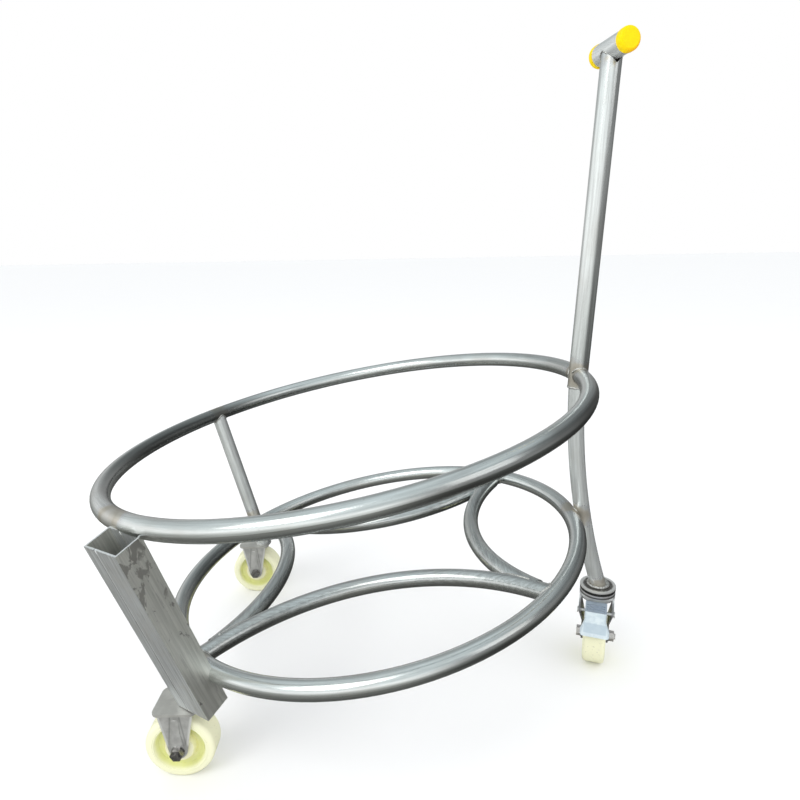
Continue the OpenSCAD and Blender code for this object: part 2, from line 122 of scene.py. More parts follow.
# ---------------------------------------------------------------- materials
class Shader:
    """A material made of nodes. Its methods add nodes and return their output sockets."""

    def __init__(self, name):
        self.material = bpy.data.materials.new(name)
        self.material.use_nodes = True
        self.tree = self.material.node_tree
        self.tree.nodes.clear()
        self.bsdf = self.add("ShaderNodeBsdfPrincipled")
        out = self.add("ShaderNodeOutputMaterial")
        self.tree.links.new(self.bsdf.outputs[0], out.inputs["Surface"])
        self.place = self.add("ShaderNodeTexCoord").outputs["Object"]
        self.mm = self.vector("SCALE", self.place, scale=1000.0)

    def add(self, kind, **props):
        node = self.tree.nodes.new(kind)
        for key, value in props.items():
            setattr(node, key, value)
        return node

    def feed(self, socket, value):
        if isinstance(value, bpy.types.NodeSocket):
            self.tree.links.new(value, socket)
        else:
            socket.default_value = value

    def math(self, operation, a, b=0.0, c=0.0, clamp=False):
        node = self.add("ShaderNodeMath", operation=operation, use_clamp=clamp)
        for socket, value in zip(node.inputs, (a, b, c)):
            self.feed(socket, value)
        return node.outputs[0]

    def vector(self, operation, a, b=(0, 0, 0), scale=None):
        node = self.add("ShaderNodeVectorMath", operation=operation)
        self.feed(node.inputs[0], a)
        self.feed(node.inputs[1], b)
        if scale is not None:
            self.feed(node.inputs["Scale"], scale)
        return node.outputs["Value" if operation in ("DOT_PRODUCT", "LENGTH", "DISTANCE") else "Vector"]

    def parts(self, v):
        node = self.add("ShaderNodeSeparateXYZ")
        self.feed(node.inputs[0], v)
        return node.outputs

    def join(self, x, y, z):
        node = self.add("ShaderNodeCombineXYZ")
        for socket, value in zip(node.inputs, (x, y, z)):
            self.feed(socket, value)
        return node.outputs[0]

    def stretch(self, v, x, y, z):
        """A vector of three values, each with its own scale."""
        return self.join(*(self.math("MULTIPLY", part, scale) for part, scale in zip(v, (x, y, z))))

    def noise(self, where, scale, detail=3.0, rough=0.55, distortion=0.0, w=None):
        node = self.add("ShaderNodeTexNoise", noise_dimensions="3D" if w is None else "4D")
        self.feed(node.inputs["Vector"], where)
        if w is not None:
            self.feed(node.inputs["W"], w)
        self.feed(node.inputs["Scale"], scale)
        self.feed(node.inputs["Detail"], detail)
        self.feed(node.inputs["Roughness"], rough)
        self.feed(node.inputs["Distortion"], distortion)
        return node.outputs["Fac"]

    def ramp(self, fac, stops):
        node = self.add("ShaderNodeValToRGB")
        self.feed(node.inputs[0], fac)
        band = node.color_ramp
        while len(band.elements) < len(stops):
            band.elements.new(0.5)
        for element, (place, colour) in zip(band.elements, stops):
            element.position = place
            if isinstance(colour, (int, float)):
                colour = (colour, colour, colour)
            element.color = (*colour, 1.0)
        return node.outputs[0]

    def spread(self, value, low, high, to_low=0.0, to_high=1.0, smooth=True):
        node = self.add("ShaderNodeMapRange", interpolation_type="SMOOTHSTEP" if smooth else "LINEAR")
        for socket, v in zip(node.inputs, (value, low, high, to_low, to_high)):
            self.feed(socket, v)
        return node.outputs[0]

    def mix(self, fac, a, b, blend="MIX"):
        node = self.add("ShaderNodeMix", data_type="RGBA", blend_type=blend)
        self.feed(node.inputs[0], fac)
        for socket, value in ((node.inputs[6], a), (node.inputs[7], b)):
            if isinstance(value, tuple) and len(value) == 3:
                value = (*value, 1.0)
            self.feed(socket, value)
        return node.outputs[2]

    def bump(self, height, depth_mm, strength=1.0, normal=None):
        node = self.add("ShaderNodeBump")
        self.feed(node.inputs["Height"], height)
        self.feed(node.inputs["Distance"], depth_mm * MM)
        self.feed(node.inputs["Strength"], strength)
        if normal is not None:
            self.feed(node.inputs["Normal"], normal)
        return node.outputs[0]

    def finish(self, colour, rough, normal=None, metallic=0.0, **sockets):
        self.feed(self.bsdf.inputs["Base Color"], (*colour, 1.0) if isinstance(colour, tuple) else colour)
        self.feed(self.bsdf.inputs["Roughness"], rough)
        self.feed(self.bsdf.inputs["Metallic"], metallic)
        if normal is not None:
            self.feed(self.bsdf.inputs["Normal"], normal)
        for key, value in sockets.items():
            self.bsdf.inputs[key.replace("_", " ")].default_value = value
        return self.material


# Drawing streaks: fine across a tube, long along it
STREAK_ACROSS = 0.22
STREAK_ALONG = 0.008
STREAK_NOISE = dict(scale=1.6, detail=4.0, rough=0.6)


def straight(a, b):
    """Streaks along a straight tube from a to b."""
    def streaks(g):
        axis = (b - a).normalized()
        side = axis.orthogonal().normalized()
        offset = g.vector("SUBTRACT", g.mm, tuple(a))
        parts = [g.vector("DOT_PRODUCT", offset, tuple(way)) for way in (side, axis.cross(side), axis)]
        return g.noise(g.stretch(parts, STREAK_ACROSS, STREAK_ACROSS, STREAK_ALONG), **STREAK_NOISE)
    return streaks


def round_hoop(centre, radius):
    """Streaks round a tilted hoop."""
    def streaks(g):
        offset = g.vector("SUBTRACT", g.mm, tuple(centre))
        x = g.vector("DOT_PRODUCT", offset, tuple(UP_X))
        y = g.parts(offset)[1]
        z = g.vector("DOT_PRODUCT", offset, tuple(UP_Z))
        away = g.math("SQRT", g.math("ADD", g.math("MULTIPLY", x, x), g.math("MULTIPLY", y, y)))
        round_x, round_y = [
            g.math("MULTIPLY", g.math("DIVIDE", part, away), radius * STREAK_ALONG) for part in (x, y)
        ]
        where = g.join(g.math("MULTIPLY", away, STREAK_ACROSS), g.math("MULTIPLY", z, STREAK_ACROSS), round_x)
        return g.noise(where, w=round_y, **STREAK_NOISE)
    return streaks


def tube_steel(name, streaks, joints=(), tone=1.0, shade=None, metal=1.0, rough=0.24):
    """Drawn steel tube: pale grey with a green-blue cast, drawing streaks, heat tints round its welds, and
    painted shade and a painted ground reflection where a shade is given.
    """
    g = Shader(name)
    line = streaks(g)
    cloud = g.noise(g.mm, 0.012, 3.0, 0.6)
    fine = g.noise(g.mm, 0.25, 3.0, 0.6)
    pale = tuple(tone * c for c in (0.86, 0.895, 0.885))
    dull = tuple(tone * c for c in (0.66, 0.68, 0.672))
    colour = g.mix(g.spread(line, 0.3, 0.7), dull, pale)
    colour = g.mix(g.math("MULTIPLY", g.spread(cloud, 0.45, 0.72), 0.35), colour, (0.60, 0.585, 0.55))
    spots = g.spread(g.noise(g.mm, 0.5, 2.0, 0.5), 0.70, 0.76)
    colour = g.mix(g.math("MULTIPLY", spots, 0.35), colour, (0.36, 0.35, 0.33))
    wobble = g.math("MULTIPLY", g.math("SUBTRACT", g.noise(g.mm, 0.08, 2.0, 0.5), 0.5), 14.0)
    rough_now = g.math("ADD", g.math("MULTIPLY", g.math("SUBTRACT", line, 0.5), 0.12), rough)
    for point, reach in joints:
        far = g.math("ADD", g.vector("DISTANCE", g.mm, tuple(point)), wobble)
        tint = g.ramp(
            g.spread(far, reach * 0.5, reach * 2.0, smooth=False),
            [
                (0.0, (0.62, 0.60, 0.56)), (0.3, (0.45, 0.40, 0.31)), (0.5, (0.50, 0.43, 0.33)),
                (0.72, (0.44, 0.45, 0.50)), (1.0, (0.72, 0.74, 0.73)),
            ],
        )
        near = g.spread(far, reach * 0.8, reach * 2.0, 0.8, 0.0)
        colour = g.mix(near, colour, tint)
        rough_now = g.math("ADD", rough_now, g.math("MULTIPLY", near, 0.12))
    if shade is not None:
        # Painted shade in dark grey, and a painted brownish reflection of the ground, made less metallic so
        # its colour shows
        painted_shade, low = shade(g)
        colour = g.mix(painted_shade, colour, (0.17, 0.175, 0.17))
        colour = g.mix(low, colour, (0.52, 0.48, 0.40))
        metal = g.math("SUBTRACT", metal, g.math("MULTIPLY", low, 0.55))
    normal = g.bump(g.math("ADD", g.math("MULTIPLY", line, 0.7), g.math("MULTIPLY", fine, 0.3)), 0.05)
    return g.finish(colour, rough_now, normal, metallic=metal)


def paint(node, material):
    """Give a CAD node its one material."""
    obj = NODES[node]
    obj.data.materials.clear()
    obj.data.materials.append(material)


def facing(g, way):
    """How far a surface faces a direction, from -1 to 1."""
    normal = g.add("ShaderNodeNewGeometry").outputs["Normal"]
    return g.vector("DOT_PRODUCT", normal, tuple(way))


def hoop_shade(centre, inner, right):
    """Painted shade inside a hoop's left end and round its right end, with a painted brownish reflection of
    the ground under the right end.
    """
    def shade(g):
        offset = g.vector("SUBTRACT", g.mm, tuple(centre))
        x = g.vector("DOT_PRODUCT", offset, tuple(UP_X))
        # Painted shade on the inward faces of the left end and on the side faces of the right end's front
        at_left = g.spread(x, -250.0, -120.0, inner, 0.0)
        left = g.math("MULTIPLY", at_left, g.spread(facing(g, UP_X), -0.1, 0.6))
        at_right = g.spread(x, 170.0, 285.0, 0.0, right)
        end = g.math("MULTIPLY", at_right, g.spread(g.parts(offset)[1], 20.0, -60.0))
        up = facing(g, UP_Z)
        # Painted brownish reflection of the ground under the right end's front
        under = g.math("MULTIPLY", end, g.spread(up, -0.45, -0.8))
        upright = g.math("MULTIPLY", g.spread(up, 0.85, 0.45), g.spread(up, -0.75, -0.4))
        return g.math("MAXIMUM", left, g.math("MULTIPLY", end, upright)), under
    return shade


def side_shade(amount):
    """Painted shade on the faces turned away from the front left."""
    way = Vector((-0.6, -0.7, 0.4)).normalized()
    return lambda g: (g.spread(facing(g, way), 0.35, -0.6, 0.0, amount), 0.0)


# Where the tubes are joined, for the heat tints round their welds
SOCKET_ON_UPPER = at(-229, -230, 327)
SOCKET_ON_LOWER = at(-172, -185, 150)
LEG_ON_LOWER = at(-190, 193, 142)
REAR_LEG_ON_LOWER = at(318, 0, 223)
CROSSBAR_ON_POST = at(329, 0, 806)
LONG_BAR_LINE = straight(at(-200, 0, 150), at(260, 0, 230))
SHORT_BAR_LINE = straight(at(0, -100, 150), at(0, 100, 150))
FRAME_TUBES = {
    "upper_hoop": dict(
        streaks=round_hoop(HOOP_C, HOOP_R), shade=hoop_shade(HOOP_C, 0.85, 0.95),
        joints=((HOOP_END, 17.0), (SOCKET_ON_UPPER, 22.0), (LEG_TOP, 12.0)),
    ),
    "lower_hoop": dict(
        streaks=round_hoop(LOWER_C, LOWER_R), shade=hoop_shade(LOWER_C, 0.7, 0.6),
        joints=((REAR_LEG_ON_LOWER, 16.0), (SOCKET_ON_LOWER, 20.0), (LEG_ON_LOWER, 12.0)),
    ),
    "handle_post": dict(
        streaks=straight(POST_FOOT, POST_TOP), shade=side_shade(0.2),
        joints=((HOOP_END, 16.0), (CROSSBAR_ON_POST, 9.0)),
    ),
    "rear_leg": dict(
        streaks=straight(HOOP_END, at(340, 0, DISC_Z)), tone=1.05, shade=side_shade(0.8), metal=0.7,
        joints=((REAR_LEG_ON_LOWER, 13.0), (at(STEM_X, 0, DISC_Z), 12.0)),
    ),
    "back_leg": dict(
        streaks=straight(LEG_FOOT, LEG_TOP), tone=1.05, shade=side_shade(0.8), metal=0.7,
        joints=((LEG_ON_LOWER, 12.0),),
    ),
    "handle_crossbar": dict(
        streaks=straight(POST_TOP, POST_TOP + BAR_WAY), tone=1.05, metal=0.6,
        joints=((CROSSBAR_ON_POST, 8.0),),
    ),
    "front_floor_bar": dict(
        streaks=LONG_BAR_LINE, tone=0.78, shade=side_shade(0.35), joints=((at(268, -132, 222), 12.0),),
    ),
    "back_floor_bar": dict(
        streaks=LONG_BAR_LINE, tone=0.78, shade=side_shade(0.35), joints=((at(268, 132, 222), 12.0),),
    ),
    "left_floor_bar": dict(streaks=SHORT_BAR_LINE, tone=0.85, shade=side_shade(0.5)),
    "right_floor_bar": dict(streaks=SHORT_BAR_LINE, tone=0.85, shade=side_shade(0.5)),
}
for node, looks in FRAME_TUBES.items():
    paint(node, tube_steel("steel_" + node, **looks))


def plain(name, colour, rough, metallic=0.0, mottle=0.12, scale=0.15, bump=0.05):
    """One mottled colour."""
    g = Shader(name)
    patches = g.noise(g.mm, scale, 4.0, 0.6)
    dark = tuple(c * (1 - mottle) for c in colour)
    light = tuple(min(1.0, c * (1 + mottle)) for c in colour)
    fine = g.noise(g.mm, scale * 6, 3.0, 0.6)
    return g.finish(
        g.mix(g.spread(patches, 0.35, 0.68), dark, light),
        g.math("ADD", g.math("MULTIPLY", g.math("SUBTRACT", fine, 0.5), 0.15), rough),
        g.bump(fine, bump),
        metallic=metallic,
    )


def local(g, frame_of):
    """Millimetre coordinates along the axes of a sub-part's own frame."""
    offset = g.vector("SUBTRACT", g.mm, tuple(frame_of.translation))
    return [g.vector("DOT_PRODUCT", offset, tuple(axis)) for axis in frame_of.to_3x3().transposed()]


SEAM_Y = -7.0


def mill_steel():
    """Rolled steel of the socket: light worn outer face, duller narrow face with dark scale smudges."""
    g = Shader("socket_steel")
    x, y, z = local(g, SOCKET)
    axes = SOCKET.to_3x3().transposed()
    narrow = g.spread(g.math("ABSOLUTE", facing(g, axes[1])), 0.5, 0.8)
    cloud = g.noise(g.mm, 0.03, 4.0, 0.65)
    line = g.noise(g.stretch((x, y, z), 0.5, 0.5, 0.012), 1.0, 4.0, 0.6)
    light = g.mix(g.spread(line, 0.32, 0.68), (0.66, 0.68, 0.68), (0.86, 0.88, 0.88))
    brown = g.mix(g.spread(line, 0.32, 0.68), (0.68, 0.685, 0.63), (0.88, 0.88, 0.82))
    colour = g.mix(narrow, light, brown)
    colour = g.mix(g.math("MULTIPLY", g.spread(cloud, 0.45, 0.7), 0.4), colour, (0.72, 0.71, 0.67))
    # Smudges: ragged patches that thin out towards the foot
    patch = g.noise(g.stretch((x, y, z), 0.075, 0.06, 0.04), 1.0, 5.0, 0.62, 0.6, w=5.2)
    high = g.spread(z, -170.0, -95.0, 0.0, 0.10)
    smudge = g.spread(g.math("ADD", patch, high), 0.635, 0.69)
    outside = g.spread(g.math("ABSOLUTE", y), 24.0, 24.6)
    smudge = g.math("MULTIPLY", g.math("MULTIPLY", smudge, g.spread(narrow, 0.4, 0.6)), outside)
    streak = g.noise(g.stretch((x, y, z), 0.35, 0.35, 0.03), 1.0, 3.0, 0.6, w=9.1)
    scratch = g.spread(streak, 0.60, 0.64)
    colour = g.mix(g.math("MULTIPLY", scratch, 0.35), colour, (0.42, 0.42, 0.40))
    colour = g.mix(g.math("MULTIPLY", smudge, 0.8), colour, (0.30, 0.29, 0.27))
    # Longitudinal seam of the welded tube
    seam = g.spread(g.math("ABSOLUTE", g.math("SUBTRACT", y, SEAM_Y)), 1.6, 0.5)
    seam = g.math("MULTIPLY", seam, g.spread(x, 10.0, 14.0))
    colour = g.mix(seam, colour, (0.95, 0.96, 0.96))
    # Painted shade: a dark line in the crease beside the seam
    painted_crease_shade = g.spread(g.math("ABSOLUTE", g.math("ADD", y, 8.6)), 1.0, 0.4)
    colour = g.mix(g.math("MULTIPLY", painted_crease_shade, 0.75), colour, (0.30, 0.31, 0.31))
    rough = g.math("ADD", g.math("MULTIPLY", line, 0.16), 0.38)
    rough = g.math("ADD", rough, g.math("MULTIPLY", smudge, 0.2))
    normal = g.bump(g.math("ADD", g.math("MULTIPLY", line, 0.5), g.math("MULTIPLY", seam, 0.8)), 0.12)
    return g.finish(colour, rough, normal, metallic=0.85)


def nylon_wheel(name, centre, axis):
    """Moulded nylon: pale cream rim and hub; the yellow-green web between them is painted light shining
    through the thin nylon, with painted shade in its recess.
    """
    g = Shader(name)
    offset = g.vector("SUBTRACT", g.mm, tuple(centre))
    sideways = g.vector("SCALE", tuple(axis), scale=g.vector("DOT_PRODUCT", offset, tuple(axis)))
    away = g.vector("LENGTH", g.vector("SUBTRACT", offset, sideways))
    cloud = g.noise(g.mm, 0.06, 3.0, 0.6)
    away = g.math("ADD", away, g.math("MULTIPLY", g.math("SUBTRACT", cloud, 0.5), 1.6))
    # The yellow-green band of this ramp is painted: light shining through the thin web, and shade in its
    # recess
    colour = g.ramp(
        g.spread(away, 0.0, 42.0, smooth=False),
        [
            (0.38, (0.84, 0.82, 0.56)), (0.45, (0.76, 0.74, 0.33)), (0.56, (0.70, 0.72, 0.27)),
            (0.66, (0.74, 0.76, 0.33)), (0.70, (0.86, 0.86, 0.58)), (0.90, (0.88, 0.87, 0.62)),
            (1.0, (0.84, 0.83, 0.56)),
        ],
    )
    colour = g.mix(g.math("MULTIPLY", g.spread(cloud, 0.5, 0.75), 0.25), colour, (0.80, 0.79, 0.62))
    dirt = g.math("MULTIPLY", g.spread(g.noise(g.mm, 0.35, 3.0, 0.6), 0.62, 0.72), g.spread(away, 36.5, 39.5))
    colour = g.mix(g.math("MULTIPLY", dirt, 0.5), colour, (0.34, 0.32, 0.24))
    rings = g.math("SINE", g.math("MULTIPLY", away, 5.0))
    normal = g.bump(g.math("ADD", g.math("MULTIPLY", rings, 0.15), g.noise(g.mm, 0.8, 2.0)), 0.05)
    return g.finish(colour, g.math("ADD", g.math("MULTIPLY", cloud, 0.2), 0.32), normal)


socket_steel = mill_steel()
weld_metal = plain("weld_metal", (0.74, 0.73, 0.70), 0.35, 1.0, mottle=0.25, scale=0.5, bump=0.3)
fork_zinc = plain("fork_zinc", (0.74, 0.74, 0.715), 0.34, 0.6, mottle=0.18, scale=0.08)
bolt_steel = plain("bolt_steel", (0.34, 0.33, 0.32), 0.36, 1.0, mottle=0.3, scale=0.3)
washer_zinc = plain("washer_zinc", (0.62, 0.62, 0.61), 0.33, 1.0, mottle=0.2, scale=0.3)
swivel_bolt_zinc = plain("swivel_bolt_zinc", (0.62, 0.60, 0.585), 0.36, 0.6, mottle=0.2, scale=0.3)


def fork_plating(name, middle):
    """Zinc-plated pressed fork: painted highlights along the cheeks' side edges, a dull middle and painted
    shade in the creases beside the pressed rib.
    """
    g = Shader(name)
    x, y, z = g.parts(g.vector("SUBTRACT", g.mm, tuple(middle)))
    cloud = g.noise(g.mm, 0.07, 4.0, 0.6)
    colour = g.mix(g.spread(cloud, 0.35, 0.68), (0.50, 0.50, 0.48), (0.66, 0.66, 0.635))
    away = g.math("ABSOLUTE", x)
    # Painted highlight along the cheeks' side edges
    edge = g.math("SUBTRACT", 20.5, g.math("MULTIPLY", g.math("SUBTRACT", 89.0, z), 0.2))
    outer = g.spread(g.math("SUBTRACT", edge, away), 3.4, 1.2)
    side = g.math("MULTIPLY", g.spread(z, 89.0, 87.5), g.spread(z, 44.0, 50.0))
    colour = g.mix(g.math("MULTIPLY", outer, side), colour, (0.86, 0.86, 0.83))
    # Painted shade in the creases beside the pressed rib
    rib_edge = g.math("ADD", 5.6, g.math("MULTIPLY", g.math("SUBTRACT", 82.0, z), 0.12))
    painted_crease_shade = g.spread(g.math("ABSOLUTE", g.math("SUBTRACT", away, rib_edge)), 1.3, 0.3)
    painted_crease_shade = g.math("MULTIPLY", painted_crease_shade, side)
    colour = g.mix(g.math("MULTIPLY", painted_crease_shade, 0.55), colour, (0.26, 0.26, 0.25))
    burnt = g.spread(z, 86.0, 92.0)
    colour = g.mix(g.math("MULTIPLY", burnt, 0.45), colour, (0.60, 0.585, 0.53))
    rough = g.math("ADD", g.math("MULTIPLY", cloud, 0.25), 0.22)
    return g.finish(colour, rough, g.bump(cloud, 0.12), metallic=0.6)


def cap_plastic():
    """Soft yellow plastic, with painted shade in orange where it is turned down and to the right."""
    g = Shader("cap_yellow")
    # Painted shade: orange on the faces turned down and to the right
    turned = g.spread(facing(g, Vector((0.75, -0.2, -0.65)).normalized()), 0.25, 0.95)
    cloud = g.noise(g.mm, 0.25, 4.0, 0.6)
    turned = g.math("MULTIPLY", turned, g.spread(cloud, 0.3, 0.6, 0.5, 1.0))
    colour = g.mix(g.spread(cloud, 0.35, 0.7), (0.90, 0.64, 0.0), (0.95, 0.71, 0.0))
    colour = g.mix(turned, colour, (0.80, 0.38, 0.0))
    rough = g.math("ADD", g.math("MULTIPLY", cloud, 0.2), 0.35)
    normal = g.bump(g.noise(g.mm, 0.9, 3.0), 0.08)
    return g.finish(colour, rough, normal, Specular_IOR_Level=0.15)


def pedal_plating():
    """Zinc-plated pedal: a darker web with painted shade in dark lines across it, and a light blue-white toe
    plate with a slightly darker panel.
    """
    g = Shader("pedal_zinc")
    x, y, z = local(g, SWIVEL)
    cloud = g.noise(g.mm, 0.12, 4.0, 0.6)
    colour = g.mix(g.spread(cloud, 0.35, 0.68), (0.66, 0.76, 0.82), (0.80, 0.89, 0.93))
    panel = g.math("MULTIPLY", g.spread(z, 79.0, 77.0), g.spread(g.math("ABSOLUTE", y), 15.5, 14.5))
    panel = g.math("MULTIPLY", panel, g.spread(z, 64.5, 66.0))
    colour = g.mix(g.math("MULTIPLY", panel, 0.7), colour, (0.50, 0.61, 0.69))
    web = g.spread(z, 92.0, 92.8)
    colour = g.mix(g.math("MULTIPLY", web, 0.9), colour, (0.34, 0.40, 0.48))
    # Painted shade: dark lines across the web at the pitch of its pressed ridges
    wave = g.math("SINE", g.math("MULTIPLY", g.math("SUBTRACT", x, 33.0), 2 * math.pi / 3.76))
    groove = g.math("MULTIPLY", g.spread(wave, 0.25, 0.9), g.spread(g.math("ABSOLUTE", y), 12.6, 11.6))
    groove = g.math("MULTIPLY", g.math("MULTIPLY", groove, web), g.spread(x, 32.0, 33.0))
    colour = g.mix(g.math("MULTIPLY", groove, 0.8), colour, (0.10, 0.13, 0.19))
    rough = g.math("ADD", g.math("MULTIPLY", cloud, 0.2), 0.26)
    return g.finish(colour, rough, g.bump(cloud, 0.15), metallic=0.55)


def swivel_plating(name, bands):
    """Plated swivel: a colour for each height, over a mottled base."""
    g = Shader(name)
    z = local(g, SWIVEL)[2]
    cloud = g.noise(g.mm, 0.15, 4.0, 0.6)
    low, high = bands[0][0], bands[-1][0]
    stops = [((height - low) / (high - low), colour) for height, colour in bands]
    colour = g.ramp(g.spread(z, low, high, smooth=False), stops)
    colour = g.mix(g.math("MULTIPLY", g.spread(cloud, 0.45, 0.7), 0.4), colour, (0.36, 0.36, 0.35))
    rough = g.math("ADD", g.math("MULTIPLY", cloud, 0.25), 0.22)
    return g.finish(colour, rough, g.bump(cloud, 0.15), metallic=0.7)


def disc_plating():
    """The swivel's upper disc: a dark burnt recess round the leg and a bright worn rim."""
    g = Shader("disc_zinc")
    x, y, z = local(g, SWIVEL)
    away = g.math("SQRT", g.math("ADD", g.math("MULTIPLY", x, x), g.math("MULTIPLY", y, y)))
    cloud = g.noise(g.mm, 0.3, 4.0, 0.65)
    away = g.math("ADD", away, g.math("MULTIPLY", g.math("SUBTRACT", cloud, 0.5), 4.0))
    colour = g.mix(g.spread(away, 19.5, 22.0), (0.13, 0.125, 0.115), (0.80, 0.80, 0.78))
    colour = g.mix(g.spread(z, 110.2, 109.6), colour, (0.03, 0.03, 0.03))
    spots = g.spread(cloud, 0.58, 0.66)
    colour = g.mix(g.math("MULTIPLY", spots, 0.6), colour, (0.55, 0.55, 0.52))
    rough = g.math("ADD", g.math("MULTIPLY", cloud, 0.3), 0.2)
    return g.finish(colour, rough, g.bump(cloud, 0.3), metallic=0.7)


fork_front = fork_plating("fork_front", at(FIXED_X, -TRACK, 0))
fork_back = fork_plating("fork_back", at(FIXED_X, TRACK, 0))
cap_yellow = cap_plastic()
pedal_zinc = pedal_plating()
crown_zinc = swivel_plating("crown_zinc", [
    (60.0, (0.20, 0.20, 0.205)), (92.0, (0.24, 0.24, 0.25)), (95.0, (0.46, 0.47, 0.48)),
    (96.5, (0.86, 0.87, 0.87)), (100.2, (0.92, 0.93, 0.93)), (101.5, (0.12, 0.12, 0.12)),
    (103.0, (0.16, 0.16, 0.16)), (104.2, (0.82, 0.82, 0.82)), (106.0, (0.80, 0.80, 0.80)),
])
disc_zinc = disc_plating()
seal_black = plain("seal_black", (0.015, 0.015, 0.015), 0.7)
nylon = {side: nylon_wheel("nylon_" + side, middle, axis) for side, (_, middle, axis) in WHEELS.items()}
for node, material in (
    ("socket_tube", socket_steel), ("socket_weld", weld_metal), ("swivel_foot_weld", weld_metal),
    ("front_grip_cap", cap_yellow), ("back_grip_cap", cap_yellow),
    ("front_fork", fork_front), ("back_fork", fork_back),
    ("swivel_fork", crown_zinc), ("swivel_disc", disc_zinc), ("kingpin", bolt_steel),
    ("brake_pin", washer_zinc), ("brake_spring", bolt_steel), ("swivel_balls", washer_zinc),
    ("dust_seal", seal_black), ("brake_pedal", pedal_zinc),
):
    paint(node, material)
for side in WHEELS:
    paint(side + "_wheel", nylon[side])
    for fitting in ("bolt", "nut"):
        paint(f"{side}_axle_{fitting}", swivel_bolt_zinc if side == "swivel" else bolt_steel)
    for fitting in ("sleeve", "washers"):
        paint(f"{side}_axle_{fitting}", washer_zinc)


# ---------------------------------------------------------------- shapes, in millimetres
def build(name, body, material, points, faces):
    """A piece from points in millimetres and faces, which rides on a body."""
    mesh = bpy.data.meshes.new(name)
    mesh.from_pydata([tuple(Vector(p) * MM) for p in points], [], faces)
    bm = bmesh.new()
    bm.from_mesh(mesh)
    bmesh.ops.recalc_face_normals(bm, faces=bm.faces)
    bm.to_mesh(mesh)
    bm.free()
    for polygon in mesh.polygons:
        polygon.use_smooth = True
    mesh.materials.append(material)
    obj = bpy.data.objects.new(name, mesh)
    bpy.context.scene.collection.objects.link(obj)
    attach(obj, body)
    return obj


def resample(points, step, closed):
    """The same path with points a fixed distance apart."""
    path = [Vector(p) for p in points]
    if closed:
        path.append(path[0])
    lengths = [0.0]
    for a, b in zip(path, path[1:]):
        lengths.append(lengths[-1] + (b - a).length)
    count = max(3, round(lengths[-1] / step))
    spaced = []
    piece = 0
    for i in range(count if closed else count + 1):
        reach = lengths[-1] * i / count
        while piece < len(lengths) - 2 and lengths[piece + 1] < reach:
            piece += 1
        gap = max(lengths[piece + 1] - lengths[piece], 1e-9)
        spaced.append(path[piece].lerp(path[piece + 1], (reach - lengths[piece]) / gap))
    return spaced


def ripple(i, seed):
    """A repeatable wobble between -1 and 1."""
    slow = math.sin(i * 0.61 + 2.3 * seed) * 0.3
    return math.sin(i * 1.7 + seed) * 0.5 + slow + math.sin(i * 3.9 + 0.7 * seed) * 0.2


SWEEP_SIDES = 10


def sweep(name, body, material, points, radius, closed=False, step=0.8, shape=None):
    """A tube of varying radius along a path. shape(i, count) gives the radius's factor at point i."""
    path = resample(points, step, closed)
    count = len(path)
    side = None
    verts, faces = [], []
    for i, point in enumerate(path):
        before = path[i - 1] if (i or closed) else point
        after = path[(i + 1) % count] if (i < count - 1 or closed) else point
        way = (after - before).normalized()
        if side is None:
            side = way.orthogonal().normalized()
        side = (side - side.dot(way) * way).normalized()
        other = way.cross(side)
        reach = radius * (shape(i, count) if shape else 1.0)
        for k in range(SWEEP_SIDES):
            angle = 2 * math.pi * k / SWEEP_SIDES
            verts.append(point + reach * (math.cos(angle) * side + math.sin(angle) * other))
    for i in range(count if closed else count - 1):
        row, following = i * SWEEP_SIDES, ((i + 1) % count) * SWEEP_SIDES
        for k in range(SWEEP_SIDES):
            beside = (k + 1) % SWEEP_SIDES
            faces.append((row + k, row + beside, following + beside, following + k))
    if not closed:
        faces.append(tuple(range(SWEEP_SIDES))[::-1])
        faces.append(tuple((count - 1) * SWEEP_SIDES + k for k in range(SWEEP_SIDES)))
    return build(name, body, material, verts, faces)


def thin_ends(least, rise):
    """A swept tube's shape that thins at both ends."""
    return lambda i, count: min(1.0, least + rise * min(i, count - 1 - i))


BEAD_STEP = 0.8


def bead(name, points, radius, seed, closed=False, pitch=2.6):
    """A weld bead on the frame: overlapping ripples, a little uneven, thinning at open ends."""
    ends = thin_ends(0.45, 0.2)

    def shape(i, count):
        scallop = abs(math.sin(math.pi * i * BEAD_STEP / pitch))
        body = 0.82 + 0.22 * scallop + 0.14 * ripple(i, seed)
        return body if closed else body * ends(i, count)
    return sweep("weld_" + name, "frame", weld_metal, points, radius, closed, BEAD_STEP, shape)


def hoop_point(centre, radius, section, round_at, angle):
    """A point of a tilted hoop's surface: angle round the hoop, round_at round its section."""
    out = math.cos(angle) * UP_X + math.sin(angle) * Y
    return centre + (radius + section * math.cos(round_at)) * out + section * math.sin(round_at) * UP_Z


SOCKET_HALF_T = 15.0
HALVINGS = 40


def from_hoop(centre, radius, section):
    """How far a point is outside a hoop's surface."""
    def distance(point):
        offset = point - centre
        flat = math.hypot(offset.dot(UP_X), offset.y)
        return math.hypot(flat - radius, offset.dot(UP_Z)) - section
    return distance


def from_line(a, b, section):
    """How far a point is outside a straight tube's surface."""
    way = (b - a).normalized()
    return lambda point: ((point - a) - (point - a).dot(way) * way).length - section


def from_plate(point):
    """How far a point is above the fixed casters' plates."""
    return point.z - PLATE_TOP


def from_socket(point):
    """How far a point is outside the socket's inner face."""
    return (SOCKET_BACK @ point).x + SOCKET_HALF_T


def crossing(value, low, high):
    """Where value(t) changes sign between low and high."""
    starts_positive = value(low) > 0
    for _ in range(HALVINGS):
        middle = (low + high) / 2
        if (value(middle) > 0) == starts_positive:
            low = middle
        else:
            high = middle
    return (low + high) / 2


